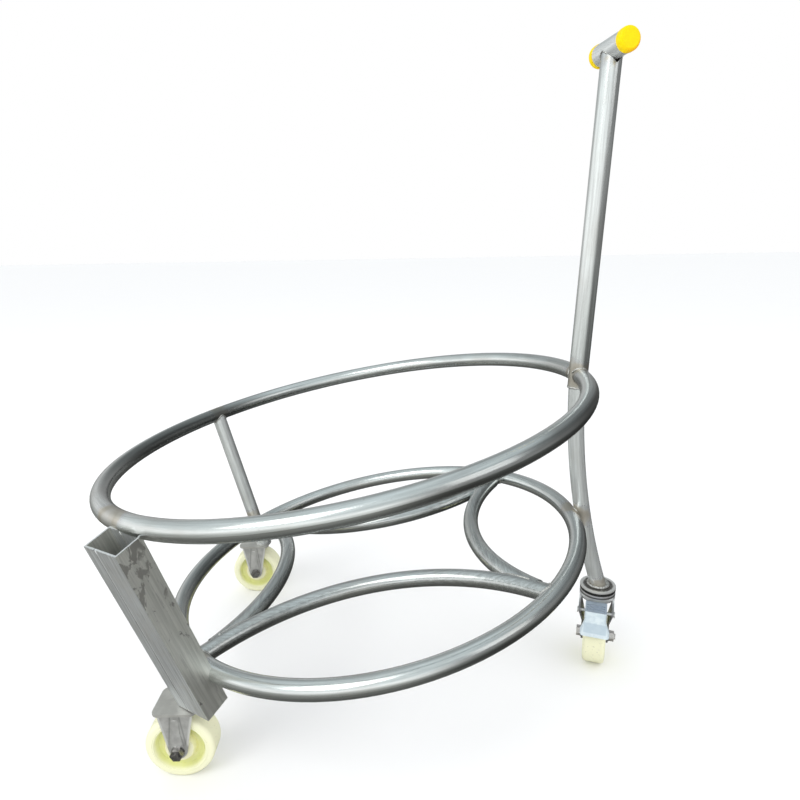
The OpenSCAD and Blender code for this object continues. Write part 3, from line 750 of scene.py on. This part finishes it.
upper = from_hoop(HOOP_C, HOOP_R, TUBE_R)
lower = from_hoop(LOWER_C, LOWER_R, TUBE_R)
post_wall = from_line(POST_FOOT, POST_TOP, POST_R)


def hoop_end_line(side, first, last, steps=60):
    """Where one end of the upper hoop meets the post, over part of the hoop's section."""
    line = []
    for i in range(steps + 1):
        section_at = math.radians(first + (last - first) * i / steps)
        reach = crossing(
            lambda t: post_wall(hoop_point(HOOP_C, HOOP_R, TUBE_R, section_at, side * t)), 0.012, 0.12
        )
        line.append(hoop_point(HOOP_C, HOOP_R, TUBE_R + 0.2, section_at, side * (reach + 0.002)))
    return line


def level_ring(middle, radius, count):
    """A level ring round a point."""
    angles = [2 * math.pi * k / count for k in range(count)]
    return [middle + radius * Vector((math.cos(angle), math.sin(angle), 0)) for angle in angles]


bead("hoop_front", hoop_end_line(NEAR, -75, 150), 1.25, seed=1.0)
bead("hoop_back", hoop_end_line(FAR, -180, 180)[:-1], 1.25, seed=3.0, closed=True)
# The step between the post's foot and the rear leg
bead("post_foot", level_ring(POST_FOOT - 0.3 * Z, 11.6, 48), 1.5, seed=4.0, closed=True)


def seam(tube, surface, low, high, turns=(0, 350), first=True, count=36, steps=70):
    """Where a tube, given as tube(reach, angle), first or last crosses a surface, for each angle."""
    line = []
    reaches = [low + (high - low) * k / steps for k in range(steps + 1)]
    for i in range(count + 1):
        angle = math.radians(turns[0] + (turns[1] - turns[0]) * i / count)
        outside = [surface(tube(reach, angle)) > 0 for reach in reaches]
        crossed = [k for k in range(steps) if outside[k] != outside[k + 1]]
        if crossed:
            k = crossed[0 if first else -1]
            reach = crossing(lambda t: surface(tube(t, angle)), reaches[k], reaches[k + 1])
            line.append(tube(reach, angle))
    return line


def straight_tube(a, b, section):
    """A straight tube's surface, as tube(millimetres from a, angle round its section)."""
    way = (b - a).normalized()
    side = way.cross(Y).normalized()
    other = way.cross(side)
    return lambda reach, angle: a + reach * way + section * (math.cos(angle) * side + math.sin(angle) * other)


LEG_DROP = POST_FOOT.z - DISC_Z
LEG_REACH = at(STEM_X, 0, 0).x - POST_FOOT.x
LEG_BEND_R = (LEG_DROP ** 2 + LEG_REACH ** 2) / 2 / LEG_REACH


def rear_leg_tube(reach, angle):
    """The rear leg's surface, as tube(millimetres down its bend, angle round its section)."""
    bend = reach / LEG_BEND_R
    out = Vector((-math.cos(bend), 0, -math.sin(bend)))
    section = TUBE_R * (math.cos(angle) * out + math.sin(angle) * Y)
    return POST_FOOT + Vector((LEG_BEND_R, 0, 0)) + LEG_BEND_R * out + section


def floor_bar_tube(centre):
    """A bent floor bar's surface, as tube(degrees along it, angle round its section)."""
    return lambda reach, angle: hoop_point(centre, LOWER_R, BAR_R, angle, math.radians(reach))


# A line of more than WHOLE points goes all the way round its tube; an OPEN one never does
WHOLE = 35
OPEN = 1000


def weld(name, line, radius, seed, shortest=8, whole=WHOLE, **looks):
    """A bead along a line that was found, closed when the line goes all the way round."""
    if len(line) > shortest:
        bead(name, line, radius, seed, closed=len(line) > whole, **looks)


# Legs
for name, first in (("upper", True), ("under", False)):
    line = seam(rear_leg_tube, lower, 120.0, 240.0, (-150, 150), first)
    weld("rear_leg_" + name, line, 1.5, seed=5.0 + first, whole=OPEN)
leg_tube = straight_tube(LEG_FOOT, LEG_TOP, BAR_R)
leg_length = (LEG_TOP - LEG_FOOT).length
bead("back_leg_top", seam(leg_tube, upper, leg_length - 40.0, leg_length), 1.3, seed=7.0, closed=True)
for name, first in (("low", True), ("high", False)):
    line = seam(leg_tube, lower, 10.0, 110.0, first=first)
    weld("back_leg_" + name, line, 1.4, seed=8.0 + first, whole=OPEN)
bead("back_leg_foot", seam(leg_tube, from_plate, -25.0, 25.0), 2.0, seed=10.0, closed=True)

# Floor bars: the long ones end on the lower hoop, the short ones on the long ones
long_bars = [LOWER_C + side * LONG_BAR_Y * Y for side in (NEAR, FAR)]
half = math.degrees(math.acos(LONG_BAR_Y / 2 / LOWER_R))
for centre, middle, name in ((long_bars[0], 90.0, "front"), (long_bars[1], -90.0, "back")):
    for end in (-1, 1):
        far = middle + end * half
        line = seam(floor_bar_tube(centre), lower, far - end * 16.0, far + end * 3.0)
        which = "left" if (end < 0) == (middle < 0) else "right"
        weld(f"{name}_bar_{which}", line, 1.4, seed=11.0 + end + middle, shortest=12)
for side, middle, name in ((-1, 0.0, "left"), (1, 180.0, "right")):
    bar = floor_bar_tube(LOWER_C + side * SHORT_BAR_X * UP_X)
    for end in (-1, 1):
        near = from_hoop(long_bars[0 if (end < 0) == (side < 0) else 1], LOWER_R, BAR_R)
        line = seam(bar, near, middle + end * 18.0, middle + end * 36.8)
        weld(f"{name}_bar_{'a' if end < 0 else 'b'}", line, 1.3, seed=15.0 + end + side, shortest=12)

# Socket: beads where the hoops lie on its inner face, along the foot, and its raised seam
def on_socket(point, half_w=24.0):
    """Whether a point is over the socket's inner face."""
    inside = SOCKET_BACK @ point
    return abs(inside.y) < half_w and -SOCKET_L < inside.z < 0.0


def socket_line(centre, radius, side, steps=30, spacing=0.35):
    """Where a hoop's surface meets the socket's inner face, over the hoop (FAR) or under it (NEAR)."""
    line = []
    for k in range(-steps, steps + 1):
        angle = math.radians(SOCKET_ANGLE + k * spacing)
        wall = lambda section_at: from_socket(hoop_point(centre, radius, TUBE_R, section_at, angle))
        clear = side * math.pi * 0.9
        if wall(0.0) > 0 > wall(clear):
            point = hoop_point(centre, radius, TUBE_R, crossing(wall, 0.0, clear), angle)
            if on_socket(point):
                line.append(point)
    return line


for name, centre, radius in (("upper", HOOP_C, HOOP_R), ("lower", LOWER_C, LOWER_R)):
    for side, where in ((NEAR, "under"), (FAR, "over")):
        line = socket_line(centre, radius, side)
        weld(f"socket_{name}_{where}", line, 1.5, seed=20.0 + side, shortest=6, whole=OPEN)
foot_line = [SOCKET @ Vector((x, -25.4, 1.0 - SOCKET_L + 0.8 * math.sin(x))) for x in (-13, -6, 0, 6, 13)]
bead("socket_foot", foot_line, 2.2, seed=23.0)
front_x, front_y = at(FIXED_X, -TRACK, 0).xy
face_line = []
for k in range(40):
    outer = [SOCKET @ Vector((15.3, -25.0 + 1.25 * k, height)) for height in (-240.0, -200.0)]
    share = (PLATE_TOP + 0.6 - outer[0].z) / (outer[1].z - outer[0].z)
    point = outer[0].lerp(outer[1], share)
    if 0.0 <= share <= 1.0 and abs(point.x - front_x) < 25.0 and abs(point.y - front_y) < 23.0:
        face_line.append(point)
weld("socket_face", face_line, 2.3, 24.0, shortest=3, whole=OPEN, pitch=3.4)
for name, x, radius in (("socket_seam", 14.85, 0.5), ("socket_seam_inside", -12.9, 0.6)):
    line = [SOCKET @ Vector((x, SEAM_Y, z)) for z in (-SOCKET_L, -SOCKET_L / 2, -1.0)]
    sweep(name, "frame", socket_steel, line, radius, step=6.0)

# Handle: beads on the two ears that hold the crossbar
post_tube = straight_tube(POST_FOOT, POST_TOP, POST_R)
crossbar_wall = from_line(POST_TOP - 40 * BAR_WAY, POST_TOP + 40 * BAR_WAY, CROSSBAR_R)
post_length = (POST_TOP - POST_FOOT).length
for middle, name in ((0, "left"), (180, "right")):
    line = seam(post_tube, crossbar_wall, post_length - 40.0, post_length, (middle - 46, middle + 46))
    weld("crossbar_" + name, line, 1.1, seed=26.0 + middle, whole=OPEN)


# Forks: a pressed rib on each cheek
def plate_relief(name, material, frame_of, outline, lift, inset=1.6):
    """A raised panel on the frame: an outline in the XZ plane, lifted along +Y with sloped sides."""
    count = len(outline)
    mid_x, mid_z = [sum(point[i] for point in outline) / count for i in (0, 1)]
    rows = [[frame_of @ Vector((x, -0.3, z)) for x, z in outline]]
    for step, height in ((0.15, 0.6), (0.5, 0.92), (1.0, 1.0)):
        row = []
        for x, z in outline:
            reach = math.hypot(x - mid_x, z - mid_z)
            keep = 1 - inset * step / reach
            inner_x, inner_z = mid_x + (x - mid_x) * keep, mid_z + (z - mid_z) * keep
            row.append(frame_of @ Vector((inner_x, lift * height, inner_z)))
        rows.append(row)
    points = [point for row in rows for point in row]
    faces = []
    for r in range(len(rows) - 1):
        for k in range(count):
            here, beside = r * count + k, r * count + (k + 1) % count
            faces.append((here, beside, beside + count, here + count))
    faces.append(tuple((len(rows) - 1) * count + k for k in range(count)))
    faces.append(tuple(range(count))[::-1])
    return build(name, "frame", material, points, faces)


def rib_outline(top_w, low_w, top_z, low_z, steps=12):
    """A rib that widens downwards and ends round the bolt."""
    waist, waist_z = top_w / 2 + 0.3, (top_z + low_z) / 2 + 4
    outline = [(-top_w / 2, top_z), (-waist, waist_z)]
    for k in range(steps + 1):
        angle = math.pi + math.pi * k / steps
        outline.append((low_w / 2 * math.cos(angle), low_z + low_w / 2 * math.sin(angle)))
    return outline + [(waist, waist_z), (top_w / 2, top_z)]


CHEEK_Y = 18.8
for side, name, plating in ((NEAR, "front", fork_front), (FAR, "back", fork_back)):
    for outward in (-1, 1):
        place = Matrix.Translation(at(FIXED_X, side * TRACK + outward * CHEEK_Y, 0))
        if outward < 0:
            place = place @ turn(180, "Z")
        rib_name = f"{name}_fork_rib_{'out' if outward == side else 'in'}"
        plate_relief(rib_name, plating, place, rib_outline(8.0, 17.5, 82.0, WHEEL_R), 0.9)

# Swivel: bead round the leg's foot, rolled rim of the disc and the crown's grooves
def stem_ring(radius, z):
    """A level ring round the swivel's stem."""
    return level_ring(at(STEM_X, 0, z), radius, 60)


bead("swivel_foot", stem_ring(14.0, 113.6), 2.0, seed=30.0, closed=True, pitch=4.0)
for name, body, material, slot, ring_r, z, radius in (
    ("disc_rim", "frame", fork_zinc, "fork_zinc", 24.2, 111.3, 0.75),
    ("disc_rim_low", "frame", fork_zinc, "fork_zinc", 24.3, 108.7, 0.6),
    ("crown_rim", "swivel", fork_zinc, "fork_zinc", 24.1, 104.6, 0.7),
    ("crown_groove", "swivel", seal_black, "seal_black", 24.45, 101.6, 0.35),
    ("crown_lip", "swivel", fork_zinc, "fork_zinc", 24.0, 95.6, 0.75),
):
    sweep(name, body, material, stem_ring(ring_r, z), radius, closed=True, step=1.5)

# Pedal: pressed ridges across the web, and rolled side edges down the toe plate
HEEL = Vector((27.5, 0, 98.8))
BEND = Vector((45.0, 0, 92.5))
TOE = Vector((56.5, 0, 60.5))


def sheet_point(start, end, down, across, lift=0.0):
    """A point over a flat of the pedal, measured down from its start."""
    way = (end - start).normalized()
    return SWIVEL @ (start + down * way + lift * Vector((-way.z, 0, way.x)) + across * Y)


for k, down in enumerate((7.0, 11.0, 15.0)):
    line = [sheet_point(HEEL, BEND, down, across, 0.1) for across in (-11.5, 0.0, 11.5)]
    shape = thin_ends(0.35, 0.25)
    sweep(f"pedal_ridge_{k + 1}", "pedal", pedal_zinc, line, 0.95, step=1.2, shape=shape)
for side, name in ((-1, "left"), (1, "right")):
    edge = ((0.5, 13.6), (11.5, 13.6), (24.0, 18.4), (30.0, 18.4))
    line = [sheet_point(BEND, TOE, down, side * half_w) for down, half_w in edge]
    shape = thin_ends(0.4, 0.25)
    sweep("pedal_edge_" + name, "pedal", pedal_zinc, line, 0.9, step=1.2, shape=shape)

# Wheels: raised rings where the web meets the rim
RING_R = 32.0
RING_Y = 14.7
for side, (body, middle, axis) in WHEELS.items():
    ring_frame = along(middle, axis.cross(Z), Z, axis)
    for out, name in ((-1, "a"), (1, "b")):
        angles = [2 * math.pi * k / 72 for k in range(72)]
        line = [
            ring_frame @ Vector((RING_R * math.cos(angle), RING_R * math.sin(angle), out * RING_Y))
            for angle in angles
        ]
        sweep(f"{side}_wheel_ring_{name}", body, nylon[side], line, 0.8, closed=True, step=3.0)

# Small rounded edges on the cut and pressed parts
for node, width in (
    ("socket_tube", 0.35), ("front_fork", 0.7), ("back_fork", 0.7), ("brake_pedal", 0.3),
    ("front_axle_nut", 0.5), ("back_axle_nut", 0.5), ("swivel_axle_nut", 0.5), ("swivel_disc", 0.6),
):
    bevel = NODES[node].modifiers.new("edge", "BEVEL")
    bevel.width = width * MM
    bevel.segments = 2
    bevel.limit_method = "ANGLE"
    bevel.angle_limit = math.radians(35)

# ---------------------------------------------------------------- stage
floor_mesh = bpy.data.meshes.new("floor")
bm = bmesh.new()
bmesh.ops.create_grid(bm, x_segments=2, y_segments=2, size=60.0)
bm.to_mesh(floor_mesh)
bm.free()
floor = bpy.data.objects.new("floor", floor_mesh)
bpy.context.scene.collection.objects.link(floor)
g = Shader("floor_paint")
floor_colour = g.mix(g.noise(g.place, 3.0), (0.93, 0.93, 0.925), (0.95, 0.95, 0.95))
floor_mesh.materials.append(g.finish(floor_colour, 0.9))
floor.visible_glossy = False

world = bpy.data.worlds.new("studio")
bpy.context.scene.world = world
world.use_nodes = True


def studio(tree):
    """White to the camera and to dull surfaces. Gloss sees a bright front left and a grey floor."""
    tree.nodes.clear()
    g = Shader.__new__(Shader)
    g.tree = tree
    way = g.parts(g.add("ShaderNodeTexCoord").outputs["Generated"])
    height = g.spread(way[2], -1.0, 1.0, smooth=False)
    rise = g.ramp(
        height,
        [
            (0.0, (0.10, 0.103, 0.098)), (0.25, (0.20, 0.203, 0.19)), (0.36, (0.34, 0.35, 0.335)),
            (0.45, (0.66, 0.68, 0.66)), (0.52, (1.0, 1.0, 1.0)), (0.60, (0.98, 1.0, 1.0)),
            (0.70, (0.62, 0.67, 0.68)), (1.0, (0.52, 0.58, 0.60)),
        ],
    )
    right = g.spread(way[0], 0.10, 0.70, 1.0, 0.22)
    right = g.math("MAXIMUM", right, g.spread(way[2], 0.45, 0.95, 0.0, 0.9))
    back = g.spread(way[1], 0.25, 0.9, 1.0, 0.45)
    seen = g.vector("SCALE", rise, scale=g.math("MULTIPLY", right, back))
    gloss = g.add("ShaderNodeBackground")
    g.feed(gloss.inputs[0], seen)
    gloss.inputs[1].default_value = 1.15
    dull = g.add("ShaderNodeBackground")
    dull.inputs[0].default_value = (0.97, 0.985, 1.0, 1.0)
    dull.inputs[1].default_value = 1.09
    eye = g.add("ShaderNodeBackground")
    eye.inputs[0].default_value = (1.0, 1.0, 1.0, 1.0)
    eye.inputs[1].default_value = 1.0
    ray = g.add("ShaderNodeLightPath")
    first = g.add("ShaderNodeMixShader")
    g.feed(first.inputs[0], ray.outputs["Is Glossy Ray"])
    g.feed(first.inputs[1], dull.outputs[0])
    g.feed(first.inputs[2], gloss.outputs[0])
    second = g.add("ShaderNodeMixShader")
    g.feed(second.inputs[0], ray.outputs["Is Camera Ray"])
    g.feed(second.inputs[1], first.outputs[0])
    g.feed(second.inputs[2], eye.outputs[0])
    out = g.add("ShaderNodeOutputWorld")
    g.feed(out.inputs[0], second.outputs[0])


studio(world.node_tree)


def lamp(name, place, aim, size, power, colour=(1, 1, 1)):
    data = bpy.data.lights.new(name, "AREA")
    data.shape = "SQUARE"
    data.size = size
    data.energy = power
    data.color = colour
    obj = bpy.data.objects.new(name, data)
    bpy.context.scene.collection.objects.link(obj)
    obj.location = place
    obj.rotation_mode = "QUATERNION"
    obj.rotation_quaternion = (Vector(aim) - Vector(place)).to_track_quat("-Z", "Y")
    return obj


lamp("key", (-2.2, -2.4, 3.4), (0, 0, 0.3), 2.4, 55.0, (1.0, 0.99, 0.97))
lamp("fill", (2.6, -2.0, 2.2), (0, 0, 0.3), 2.0, 10.0)

# ---------------------------------------------------------------- camera
# In radians, apart from the place and the lens in millimetres
CAMERA_AT = at(67.02, -783.87, 587.24) * MM
CAMERA_LENS = 26.955
CAMERA_AZIMUTH = -0.0041037
CAMERA_DIP = 0.2413788
CAMERA_ROLL = -0.0170415

camera_data = bpy.data.cameras.new("camera")
camera_data.sensor_width = 36.0
camera_data.lens = CAMERA_LENS
camera_data.clip_start = 0.01
camera = bpy.data.objects.new("camera", camera_data)
bpy.context.scene.collection.objects.link(camera)
back = Vector((
    math.sin(CAMERA_AZIMUTH) * math.cos(CAMERA_DIP),
    -math.cos(CAMERA_AZIMUTH) * math.cos(CAMERA_DIP),
    math.sin(CAMERA_DIP),
))
across = Vector((0, 0, 1)).cross(back).normalized()
upward = back.cross(across)
turned_x = math.cos(CAMERA_ROLL) * across + math.sin(CAMERA_ROLL) * upward
turned_y = math.cos(CAMERA_ROLL) * upward - math.sin(CAMERA_ROLL) * across
pose = Matrix((turned_x, turned_y, back)).transposed().to_4x4()
pose.translation = CAMERA_AT
camera.matrix_world = pose
bpy.context.scene.camera = camera
bpy.context.scene.view_settings.view_transform = "Standard"
